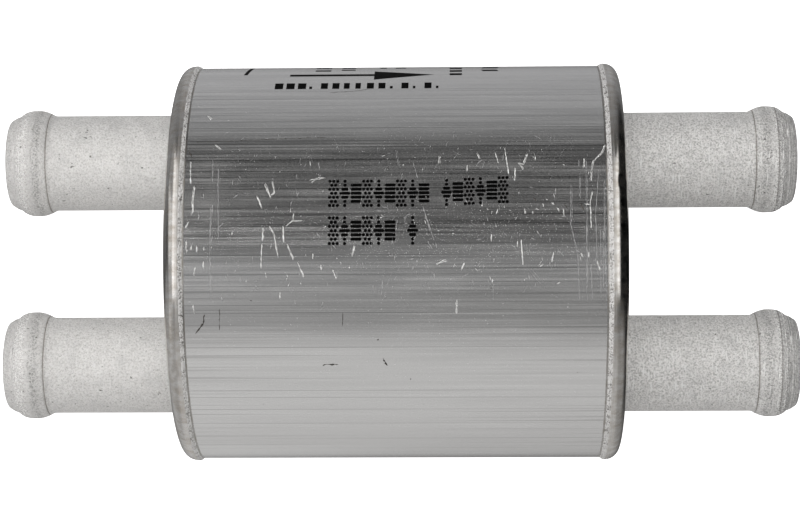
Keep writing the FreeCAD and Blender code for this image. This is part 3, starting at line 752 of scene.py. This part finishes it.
def nozzle_metal():
    """Tumbled aluminium: matt with a fine sparkle, cloudy tone, small dark pits, painted shade
    in the crease, at the edge of the outlet beads and on the rise behind the crown, and turned
    rings on the outlet noses. The outlets' skin is coarser and carries a few fine upright ticks."""
    s = Surface("nozzle_metal", (0.90, 0.89, 0.875), 0.5, 0.5)
    place = s.node("ShaderNodeTexCoord", {}).outputs["Object"]
    x = s.node("ShaderNodeSeparateXYZ", {"Vector": place}).outputs["X"]
    along = s.math("MULTIPLY", x, 1 / MM)
    out = s.math("ABSOLUTE", along)
    at_outlet = s.spread(along, -1, 1)

    # parts of the bead, in millimetres from the middle of the filter
    edge = CROWN_OUTER + 0.3
    on_nose = s.spread(along, edge - 0.05, edge + 0.15)
    off_crease = s.math("ABSOLUTE", s.math("SUBTRACT", out, BEAD_CREASE))
    off_edge = s.math("ABSOLUTE", s.math("SUBTRACT", along, edge))
    bead = s.spread(out, CROWN_INNER - 0.85, CROWN_INNER + 0.15)
    shoulder = s.band(out, (CROWN_OUTER - 0.35, CROWN_OUTER + 0.15),
                      (NOZZLE_NOSE - 0.35, NOZZLE_NOSE + 0.15))
    rise = s.band(out, (CROWN_INNER - 0.85, CROWN_INNER - 0.45),
                  (CROWN_INNER - 0.05, CROWN_INNER + 0.55))

    grain = s.noise(s.space((4.4, 4.4, 4.4)), 3.0, 0.8)
    cloud = s.noise(s.space((0.45, 0.45, 0.45)), 4.0, 0.6)
    pits = s.spread(s.noise(s.space((1.5, 2.3, 2.3)), 3.0, 0.6), 0.68, 0.715)
    turning = s.noise(s.place((0.03, 5.0)), 2.0, 0.7)
    ticks = s.spread(s.noise(s.place((0.4, 5.0), (3, 8, 0)), 1.0), 0.64, 0.67)

    coarser = s.blend(at_outlet, (0.64, 0.63, 0.615), (0.44, 0.435, 0.425))
    tone = s.blend(s.spread(grain, 0.34, 0.58), coarser, (1.0, 0.99, 0.98))
    tone = s.blend(s.spread(cloud, 0.50, 0.78, 0.0, 0.35), tone, (0.66, 0.66, 0.66))
    # Painted shade: a speckled dark band on the bead's rise behind the crown.
    painted_rise_shade = s.math("MULTIPLY", rise, s.spread(grain, 0.42, 0.52, 0.7, 0.12))
    tone = s.blend(painted_rise_shade, tone, (0.36, 0.355, 0.35))
    # Painted shade: a dark line at the edge where the outlet bead meets its nose.
    tone = s.blend(s.spread(off_edge, 0.03, 0.12, 0.8, 0.0), tone, (0.18, 0.17, 0.16))
    rings = s.math("MULTIPLY", on_nose, s.spread(turning, 0.42, 0.58, 0.6, 0.0))
    tone = s.blend(rings, tone, (0.28, 0.28, 0.28))
    # Painted shade: a dark line along the bead's crease.
    tone = s.blend(s.spread(off_crease, 0.02, 0.09, 0.75, 0.0), tone, (0.22, 0.18, 0.15))
    shown_ticks = s.math("MULTIPLY", ticks, s.spread(along, -1, 1, 0.2, 0.9))
    tone = s.blend(shown_ticks, tone, (1.0, 1.0, 0.99))
    s.set("Base Color", s.blend(pits, tone, (0.16, 0.15, 0.14)))

    scattered = s.math("ADD", s.math("MULTIPLY", shoulder, 0.16), s.math("MULTIPLY", ticks, 0.3))
    matt = s.math("ADD", s.spread(cloud, 0.3, 0.7, 0.36, 0.50), s.math("MULTIPLY", bead, 0.10))
    s.set("Metallic", s.math("SUBTRACT", matt, scattered, clamp=True))
    rough = s.spread(grain, 0.35, 0.65, 0.30, 0.48)
    s.set("Roughness", s.math("SUBTRACT", rough, s.math("MULTIPLY", shoulder, 0.14)))
    normal = s.bump(grain, 0.14, 0.9)
    normal = s.bump(s.math("MULTIPLY", turning, s.math("ADD", on_nose, 0.3)), 0.06, 0.8, normal)
    s.set("Normal", s.bump(pits, -0.08, 0.6, normal))
    return s.material


def turned_metal():
    """Faced aluminium: rings about the housing's axis."""
    s = Surface("turned_metal", (0.78, 0.78, 0.77), 0.5, 0.3)
    place = s.node("ShaderNodeTexCoord", {}).outputs["Object"]
    parts = s.node("ShaderNodeSeparateXYZ", {"Vector": place})
    y, z = parts.outputs["Y"], parts.outputs["Z"]
    square = s.math("ADD", s.math("MULTIPLY", y, y), s.math("MULTIPLY", z, z))
    radius = s.math("MULTIPLY", s.math("SQRT", square), 1 / MM)
    axis = s.node("ShaderNodeCombineXYZ", {"X": s.math("MULTIPLY", radius, 4.0)})
    rings = s.noise(axis.outputs["Vector"], 3.0, 0.6)
    grain = s.noise(s.space((2.0, 2.0, 2.0)), 3.0)
    s.set("Base Color", s.blend(s.spread(rings, 0.3, 0.7), (0.68, 0.68, 0.67), (0.84, 0.84, 0.83)))
    s.set("Roughness", s.spread(grain, 0.3, 0.7, 0.26, 0.42))
    s.set("Normal", s.bump(rings, 0.02, 0.6))
    return s.material


def moulded_rubber():
    s = Surface("seal_rubber", (0.02, 0.02, 0.02), 0.0, 0.55)
    grain = s.noise(s.space((3.0, 3.0, 3.0)), 3.0)
    s.set("Base Color", s.blend(grain, (0.012, 0.012, 0.012), (0.035, 0.035, 0.035)))
    s.set("Roughness", s.spread(grain, 0.3, 0.7, 0.45, 0.65))
    s.set("Normal", s.bump(grain, 0.02, 0.4))
    return s.material


def filter_paper():
    """Resin-treated cellulose: yellowish, with matted fibres."""
    s = Surface("filter_paper", (0.78, 0.62, 0.36), 0.0, 0.85)
    fibres = s.noise(s.space((1.2, 6.0, 6.0)), 5.0, 0.7)
    clouds = s.noise(s.space((0.3, 0.3, 0.3)), 3.0)
    tone = s.blend(s.spread(fibres, 0.3, 0.7), (0.66, 0.50, 0.27), (0.86, 0.72, 0.47))
    s.set("Base Color", s.blend(s.spread(clouds, 0.3, 0.7, 0.0, 0.25), tone, (0.58, 0.42, 0.22)))
    s.set("Normal", s.bump(fibres, 0.06, 0.7))
    return s.material


def tinned_sheet():
    s = Surface("tinned_sheet", (0.66, 0.66, 0.64), 1.0, 0.35)
    rolled = s.noise(s.space((0.4, 4.0, 4.0)), 3.0, 0.6)
    s.set("Base Color", s.blend(s.spread(rolled, 0.3, 0.7), (0.56, 0.56, 0.55), (0.76, 0.76, 0.74)))
    s.set("Roughness", s.spread(rolled, 0.3, 0.7, 0.28, 0.45))
    s.set("Normal", s.bump(rolled, 0.01, 0.5))
    return s.material


def cast_potting():
    s = Surface("cast_potting", (0.10, 0.09, 0.075), 0.0, 0.4)
    flow = s.noise(s.space((0.6, 0.6, 0.6)), 4.0)
    s.set("Base Color", s.blend(flow, (0.07, 0.06, 0.05), (0.14, 0.125, 0.10)))
    s.set("Roughness", s.spread(flow, 0.3, 0.7, 0.3, 0.5))
    s.set("Normal", s.bump(flow, 0.08, 0.4))
    return s.material


def drawn_wire():
    s = Surface("drawn_wire", (0.42, 0.42, 0.43), 1.0, 0.3)
    grain = s.noise(s.space((5.0, 5.0, 5.0)), 3.0)
    s.set("Base Color", s.blend(grain, (0.34, 0.34, 0.35), (0.50, 0.50, 0.51)))
    s.set("Roughness", s.spread(grain, 0.3, 0.7, 0.24, 0.40))
    s.set("Normal", s.bump(grain, 0.01, 0.5))
    return s.material


def printing_ink():
    """Thin black ink, a little worn where the metal's lines show through."""
    s = Surface("printing_ink", (0.006, 0.006, 0.006), 0.0, 0.6)
    s.set("Specular IOR Level", 0.03)
    speckle = s.noise(s.space((3.0, 9.0, 9.0)), 3.0)
    worn = s.spread(speckle, 0.55, 0.75)
    s.set("Base Color", s.blend(worn, (0.001, 0.001, 0.001), (0.012, 0.012, 0.012)))
    s.set("Roughness", s.spread(speckle, 0.3, 0.7, 0.45, 0.7))
    s.set("Normal", s.bump(speckle, 0.01, 0.3))
    return s.material


# ------------------------------------------------------------------------ pieces
def make_nozzles():
    metal = nozzle_metal()
    for end, flip in (("inlet", True), ("outlet", False)):
        for place, side in (("upper", 1), ("lower", -1)):
            piece = lathe(f"{end}_{place}_spigot", nozzle_outline(), 160, flip,
                          side * NOZZLE_HEIGHT)
            piece.data.materials.append(metal)
            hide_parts(f"{end}_nozzle_{place}")
            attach(piece, "root")


def dress_cad_nodes():
    """Give every CAD node that stays in view its material."""
    finishes = {"end_cap": turned_metal(), "seal": moulded_rubber(),
                "filter_paper": filter_paper(), "tinplate": tinned_sheet(),
                "potting": cast_potting(), "spring_steel": drawn_wire()}
    for row in frame["record"]["subparts"]:
        finish = finishes.get(row["material_slot"])
        if finish:
            mesh = frame["nodes"][row["node"]].data
            mesh.materials.clear()
            mesh.materials.append(finish)


# ---------------------------------------------------------------- table and light
def make_table():
    """White table under the lips, lit from below like a light table: it shows as
    plain white, and the metal mirrors the room instead."""
    mesh = bpy.data.meshes.new("table")
    reach, height = 3.0, -LIP_RADIUS * MM
    mesh.from_pydata([(-reach, -reach, height), (reach, -reach, height),
                      (reach, reach, height), (-reach, reach, height)], [], [(0, 1, 2, 3)])
    table = bpy.data.objects.new("table", mesh)
    table.visible_glossy = False
    bpy.context.scene.collection.objects.link(table)
    material = bpy.data.materials.new("pale_card")
    material.use_nodes = True
    tree = material.node_tree
    shader = tree.nodes["Principled BSDF"]
    shader.inputs["Base Color"].default_value = (0.86, 0.86, 0.86, 1)
    shader.inputs["Roughness"].default_value = 0.9
    shader.inputs["Emission Color"].default_value = (1, 1, 1, 1)
    path = tree.nodes.new("ShaderNodeLightPath")
    tree.links.new(path.outputs["Is Camera Ray"], shader.inputs["Emission Strength"])
    mesh.materials.append(material)


# Brightness of the room by the angle from straight up towards +Y, in degrees: dark
# overhead, a soft light low on the +Y side, a bigger one on the -Y side, and nothing
# straight below. It is a little warm on the -Y side and a little cool on the other.
ROOM = [(-180, 0.02), (-155, 0.4), (-140, 0.44), (-118, 0.485), (-95, 0.515), (-60, 0.485),
        (-54, 0.43), (-47, 0.335), (-41, 0.215), (-35, 0.172), (-28, 0.178), (-12, 0.148),
        (0, 0.105), (10, 0.045), (16, 0.01), (26, 0.02), (35, 0.02), (46, 0.015), (57, 0.005),
        (68, 0.06), (79, 0.175), (87, 0.22), (95, 0.265), (115, 0.325), (144, 0.36), (165, 0.2),
        (180, 0.02)]
WARM, COOL = (1.0, 0.988, 0.972), (0.99, 0.99, 1.0)
WARM_BELOW, COOL_ABOVE = -20, 70

# How much darker the room is beyond the outlets, beyond the inlets, and off the
# middle; a faint glow over the inlet end, and a patch of it on the -Y side.
OUTLET_DARK, INLET_DARK, ASIDE_DARK = 0.97, 0.5, 0.42
INLET_GLOW = 0.06
INLET_PATCH = 0.06

# Lamps: name, place in metres and power in watts. One overhead, and a weaker one
# beyond each end.
LAMP_SIZE = 0.5
LAMPS = (
    ("key", (0.0, 0.16, 0.98), 4.55),
    ("inlet_fill", (-0.97, 0.12, 0.26), 2.2),
    ("outlet_fill", (0.97, 0.12, 0.26), 1.8),
)

# Soft boxes beyond the ends of the filter: which end, then where each begins and
# stops along X and along Y in parts of the way across the sky, then its strength;
# above 1 it only makes the edges crisper. BOX_EDGE is how soft they are without that.
SOFT_BOXES = (
    (-1, (0.195, 0.52), (-0.36, 0.78), 3.0),
    (-1, (0.60, 0.92), (-0.02, 0.46), 0.45),
    (-1, (0.50, 0.90), (-0.50, 0.80), 0.2),
    (1, (0.155, 0.53), (-0.36, 0.78), 2.4),
)
BOX_EDGE = 0.045


def make_room():
    """World light: a soft studio, brighter on one side of the filter's axis, with a
    soft box beyond each end."""
    world = bpy.data.worlds.new("studio")
    bpy.context.scene.world = world
    world.use_nodes = True
    tree = world.node_tree
    background = tree.nodes["Background"]

    def math_node(operation, first, second=0.0):
        made = tree.nodes.new("ShaderNodeMath")
        made.operation = operation
        for socket, value in zip(made.inputs, (first, second)):
            if isinstance(value, bpy.types.NodeSocket):
                tree.links.new(value, socket)
            else:
                socket.default_value = value
        return made.outputs[0]

    def step(value, low, high):
        """Smooth step from 0 at low to 1 at high."""
        made = tree.nodes.new("ShaderNodeMapRange")
        made.interpolation_type = "SMOOTHSTEP"
        made.inputs["From Min"].default_value = low
        made.inputs["From Max"].default_value = high
        tree.links.new(value, made.inputs["Value"])
        return made.outputs["Result"]

    def window(value, low, high):
        """1 between low and high and 0 outside them, with soft edges."""
        rising = step(value, low - BOX_EDGE, low + BOX_EDGE)
        falling = math_node("SUBTRACT", 1.0, step(value, high - BOX_EDGE, high + BOX_EDGE))
        return math_node("MULTIPLY", rising, falling)

    def colour_mix(blend_type, share, first, second):
        made = tree.nodes.new("ShaderNodeMix")
        made.data_type = "RGBA"
        made.blend_type = blend_type
        made.clamp_result = False
        for socket, value in zip((made.inputs["Factor"], made.inputs[6], made.inputs[7]),
                                 (share, first, second)):
            if isinstance(value, bpy.types.NodeSocket):
                tree.links.new(value, socket)
            else:
                socket.default_value = value
        return made.outputs[2]

    direction = tree.nodes.new("ShaderNodeTexCoord").outputs["Generated"]
    parts = tree.nodes.new("ShaderNodeSeparateXYZ")
    tree.links.new(direction, parts.inputs["Vector"])
    x, y, z = (parts.outputs[axis] for axis in "XYZ")
    to_inlet = math_node("MULTIPLY", x, -1)
    angle = math_node("ARCTAN2", y, z)
    share = math_node("MULTIPLY_ADD", angle, 1 / TURN)
    share.node.inputs[2].default_value = 0.5
    ramp = tree.nodes.new("ShaderNodeValToRGB")
    ramp.color_ramp.interpolation = "LINEAR"
    stops = ramp.color_ramp.elements
    while len(stops) < len(ROOM):
        stops.new(0.5)
    for stop, (degrees, brightness) in zip(stops, ROOM):
        stop.position = (degrees + 180) / 360
        tint = WARM if degrees < WARM_BELOW else COOL if degrees > COOL_ABOVE else (1, 1, 1)
        stop.color = (*[brightness * part for part in tint], 1)
    tree.links.new(share, ramp.inputs["Fac"])

    # the ends of the room, beyond the soft boxes, are dark
    outlet_dark = math_node("MULTIPLY", step(x, 0.45, 0.70), step(y, -0.6, -0.25))
    outlet_dark = math_node("MULTIPLY", outlet_dark, OUTLET_DARK)
    inlet_dark = math_node("MULTIPLY", step(to_inlet, 0.85, 1.0), INLET_DARK)
    kept = math_node("SUBTRACT", math_node("SUBTRACT", 1.0, outlet_dark), inlet_dark)
    aside = math_node("MULTIPLY", step(math_node("ABSOLUTE", x), 0.15, 0.50), ASIDE_DARK)
    kept = math_node("MULTIPLY", kept, math_node("SUBTRACT", 1.0, aside))
    room = colour_mix("MULTIPLY", 1.0, ramp.outputs["Color"], kept)

    # a faint glow over the inlet end
    glow = tree.nodes.new("ShaderNodeMapRange")
    glow.inputs["From Min"].default_value = 0.12
    glow.inputs["From Max"].default_value = -0.14
    glow.inputs["To Max"].default_value = INLET_GLOW
    tree.links.new(x, glow.inputs["Value"])
    near_side = step(math_node("MULTIPLY", y, -1), -0.05, 0.20)
    near_side = math_node("ADD", math_node("MULTIPLY", near_side, 0.8), 0.7)
    room = colour_mix("ADD", 1.0, room, math_node("MULTIPLY", glow.outputs["Result"], near_side))
    patch = math_node("MULTIPLY", step(to_inlet, 0.0, 0.11), window(y, -0.66, -0.05))
    patch = math_node("MULTIPLY", patch, INLET_PATCH)
    room = colour_mix("ADD", patch, room, (1, 1, 1, 1))

    above = step(z, 0.0, 0.15)
    for end, along, across, strength in SOFT_BOXES:
        box = math_node("MULTIPLY", window(math_node("MULTIPLY", x, end), *along),
                        window(y, *across))
        box = math_node("MULTIPLY", math_node("MULTIPLY", box, above), strength)
        room = colour_mix("ADD", box, room, (1.0, 0.985, 0.965, 1))

    # past the table the camera sees plain white
    seen = tree.nodes.new("ShaderNodeLightPath").outputs["Is Camera Ray"]
    shown = colour_mix("MIX", seen, room, (1, 1, 1, 1))
    tree.links.new(shown, background.inputs["Color"])


def make_lamp(name, place, power):
    """A broad lamp that wakes up matt metal only: polished metal doesn't mirror it,
    as if it were behind a polarising sheet."""
    data = bpy.data.lights.new(name, "AREA")
    data.shape = "DISK"
    data.size = LAMP_SIZE
    data.energy = power
    data.color = (1.0, 0.995, 0.985)
    lamp = bpy.data.objects.new(name, data)
    bpy.context.scene.collection.objects.link(lamp)
    lamp.visible_glossy = False
    lamp.visible_camera = False
    lamp.location = Vector(place)
    lamp.rotation_euler = (-Vector(place)).to_track_quat("-Z", "Y").to_euler()


def make_lamps():
    for name, place, power in LAMPS:
        make_lamp(name, place, power)


# ------------------------------------------------------------------------ camera
# The view is nearly straight down. Turning by these angles about X, then Y, then Z
# carries the filter from its own frame to the camera's.
VIEW_DISTANCE = 288.5
VIEW_TILT = -4.9
VIEW_SWING = -1.55
VIEW_ROLL = 0.27
VIEW_CENTRE = (0.11, 0.46)
LENS, SENSOR = 103.05, 36.0


def make_camera():
    data = bpy.data.cameras.new("camera")
    data.lens = LENS
    data.sensor_width = SENSOR
    data.sensor_fit = "HORIZONTAL"
    data.clip_start = 0.01
    data.clip_end = 20
    camera = bpy.data.objects.new("camera", data)
    bpy.context.scene.collection.objects.link(camera)
    angles = (math.radians(VIEW_TILT), math.radians(VIEW_SWING), math.radians(VIEW_ROLL))
    to_camera = Euler(angles, "XYZ").to_matrix()
    offset = Vector((*VIEW_CENTRE, -VIEW_DISTANCE)) * MM
    from_camera = to_camera.transposed()
    camera.matrix_world = Matrix.Translation(from_camera @ -offset) @ from_camera.to_4x4()
    bpy.context.scene.camera = camera


# ------------------------------------------------------------------------- scene
make_housing()
make_nozzles()
dress_cad_nodes()
ink = printing_ink()
make_arrow(ink)
make_bars(ink)
make_code_line("print_code_upper", 16, 9, 10.2, 0.06, ink)
make_code_line("print_code_lower", 8, 6, -0.3, 0.0, ink)
make_wear()
make_table()
make_room()
make_lamps()
make_camera()
bpy.context.scene.view_settings.view_transform = "Standard"
